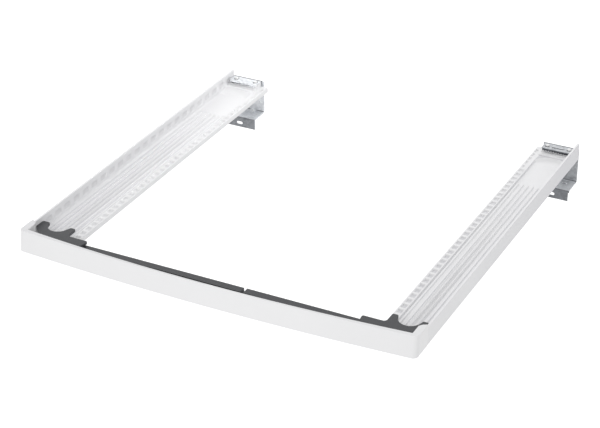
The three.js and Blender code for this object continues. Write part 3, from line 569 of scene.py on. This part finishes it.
# Turns a profile of radius and height once round the upright axis
def spinProfile(points, look):
    mesh = bmesh.new()
    verts = [mesh.verts.new((radius, 0, height)) for radius, height in points]
    edges = [mesh.edges.new(pair) for pair in zip(verts, verts[1:])]
    bmesh.ops.spin(mesh, geom=verts + edges, cent=(0, 0, 0), axis=(0, 0, 1),
                   angle=2 * math.pi, steps=look["steps"], use_merge=True)
    bmesh.ops.remove_doubles(mesh, verts=mesh.verts, dist=look["mergeWithin"])
    bmesh.ops.recalc_face_normals(mesh, faces=mesh.faces)
    return mesh


# Puts a fastener where its CAD node is
def moveOver(mesh, low, high, underHead):
    bmesh.ops.translate(mesh, verts=mesh.verts, vec=(
        (low[0] + high[0]) / 2, (low[1] + high[1]) / 2, underHead))
    return mesh


# A rivet that points down, with a domed head
def makeRivet(node, look):
    low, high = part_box(node)
    headRadius, corner, rim = look["headRadius"], look["corner"], look["rim"]
    foot = -look["shankLength"]
    points = [(0, foot), (look["shankRadius"] / 2, foot),
              (look["shankRadius"], foot + look["taper"]), (look["shankRadius"], 0),
              (headRadius - corner, 0), (headRadius, corner), (headRadius, rim)]
    for step in range(1, look["domeSteps"] + 1):
        turn = math.pi / 2 * step / look["domeSteps"]
        points.append((headRadius * math.cos(turn),
                       rim + (look["headHeight"] - rim) * math.sin(turn)))
    return moveOver(spinProfile(points, look), low, high, high[2] - look["headHeight"])


# A pan head screw that points up, with a lobed socket and rings for a thread
def makeScrew(node, look):
    low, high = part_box(node)
    underHead = low[2] + look["headHeight"]
    threadTop = high[2] - underHead
    threadFoot = threadTop - look["threadLength"]
    bottom = -look["headHeight"]
    socketTop = bottom + look["socketDepth"]
    corner, headRadius, socketRadius = look["corner"], look["headRadius"], look["socketRadius"]
    points = [(0, socketTop), (socketRadius - corner, socketTop),
              (socketRadius, socketTop - corner), (socketRadius, bottom + corner),
              (socketRadius + corner, bottom), (headRadius - look["headRound"], bottom),
              (headRadius - look["roundMiddle"], bottom + corner),
              (headRadius, bottom + look["headRound"]),
              (headRadius, -corner), (headRadius - corner, 0)]
    if "shoulderRadius" in look:
        points += [(look["shoulderRadius"], 0), (look["shoulderRadius"], threadFoot - corner),
                   (look["shoulderRadius"] - corner, threadFoot)]
    else:
        points += [(look["threadRadius"], 0), (look["threadRadius"], threadFoot)]
    core = look["threadRadius"] - look["threadDepth"]
    turns = int((look["threadLength"] - look["tip"]) / look["threadPitch"])
    for turn in range(turns):
        foot = threadFoot + turn * look["threadPitch"]
        points += [(core, foot + share * look["threadPitch"]) for share in look["rootShares"]]
        points += [(look["threadRadius"], foot + share * look["threadPitch"])
                   for share in look["crestShares"]]
    points += [(core, threadTop - look["tip"]), (0, threadTop)]
    mesh = spinProfile(points, look)
    for vert in mesh.verts:
        radius = math.hypot(vert.co.x, vert.co.y)
        if 0 < radius < socketRadius + look["lobeReach"] and vert.co.z < 0:
            turn = math.atan2(vert.co.y, vert.co.x)
            vert.co.xy *= 1 + look["lobeDepth"] * math.cos(look["lobes"] * turn)
    return moveOver(mesh, low, high, underHead)


# Grip strips

gripRubber = mouldedPlastic("greyGripRubber", {  # cellular rubber: matt, slightly uneven grey
    "colour": "#8C8E90", "shade": "#808284", "roughness": 0.9, "glossSpread": 0.05,
    "ior": 1.5, "flowSize": 20 * mm,
    "grainSize": 1.2 * mm, "grainStrength": 0.8, "grainDepth": 0.15 * mm,
})
gripLook = {"smoothBelow": 32, "edgeRadius": 0.15 * mm, "edgeSteps": 2,
            "ribPitch": 3 * mm, "ribDepth": 0.6 * mm, "ribDraft": 0.9}


def openEdges(mesh):
    return [edge for edge in mesh.edges if edge.is_boundary]


# A strip of rubber with ribs across its underside
def makeGrip(node, look):
    low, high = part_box(node)
    mesh = bmesh.new()
    strips = 2 * round((high[1] - low[1]) / look["ribPitch"]) - 1
    bmesh.ops.create_grid(mesh, x_segments=1, y_segments=strips, size=0.5)
    bmesh.ops.scale(mesh, vec=(high[0] - low[0], high[1] - low[1], 1), verts=mesh.verts)
    bmesh.ops.translate(mesh, verts=mesh.verts, vec=(
        (low[0] + high[0]) / 2, (low[1] + high[1]) / 2, low[2] + look["ribDepth"]))
    bmesh.ops.reverse_faces(mesh, faces=mesh.faces)
    ribs = sorted(mesh.faces, key=lambda face: face.calc_center_median().y)[::2]
    for rib in bmesh.ops.extrude_discrete_faces(mesh, faces=ribs)["faces"]:
        toMiddle = Matrix.Translation(-rib.calc_center_median())
        bmesh.ops.scale(mesh, vec=(1, look["ribDraft"], 1), space=toMiddle, verts=rib.verts)
        bmesh.ops.translate(mesh, verts=rib.verts, vec=(0, 0, -look["ribDepth"]))
    rim = bmesh.ops.extrude_edge_only(mesh, edges=openEdges(mesh))["geom"]
    rimVerts = [part for part in rim if isinstance(part, bmesh.types.BMVert)]
    bmesh.ops.translate(mesh, verts=rimVerts, vec=(0, 0, high[2] - low[2] - look["ribDepth"]))
    bmesh.ops.edgeloop_fill(mesh, edges=openEdges(mesh))
    bmesh.ops.recalc_face_normals(mesh, faces=mesh.faces)
    return mesh


# Both sides

sidePieces = [
    ("rail", makeRail, whiteRailAbs, railLook),
    ("foot_guide", copyOfNode, greyPolyamide, guideLook),
    ("rear_bracket", makeBracket, zincSheet, bracketLook),
    ("bracket_rivet_inner", makeRivet, whiteAcetal, rivetLook),
    ("bracket_rivet_outer", makeRivet, whiteAcetal, rivetLook),
    ("bar_screw_front", makeScrew, zincScrew, barScrewLook),
    ("bar_screw_rear", makeScrew, zincScrew, barScrewLook),
    ("guide_screw_inner", makeScrew, zincScrew, guideScrewLook),
    ("guide_screw_outer", makeScrew, zincScrew, guideScrewLook),
    ("grip_strip_front", makeGrip, gripRubber, gripLook),
    ("grip_strip_rear", makeGrip, gripRubber, gripLook),
]
for side in sides:
    for name, make, material, look in sidePieces:
        node = f"{side}_{name}"
        addPiece(node + "_piece", make(node, look), material, look, node)
    print("stage:", side, "side made")

print("stage: done")
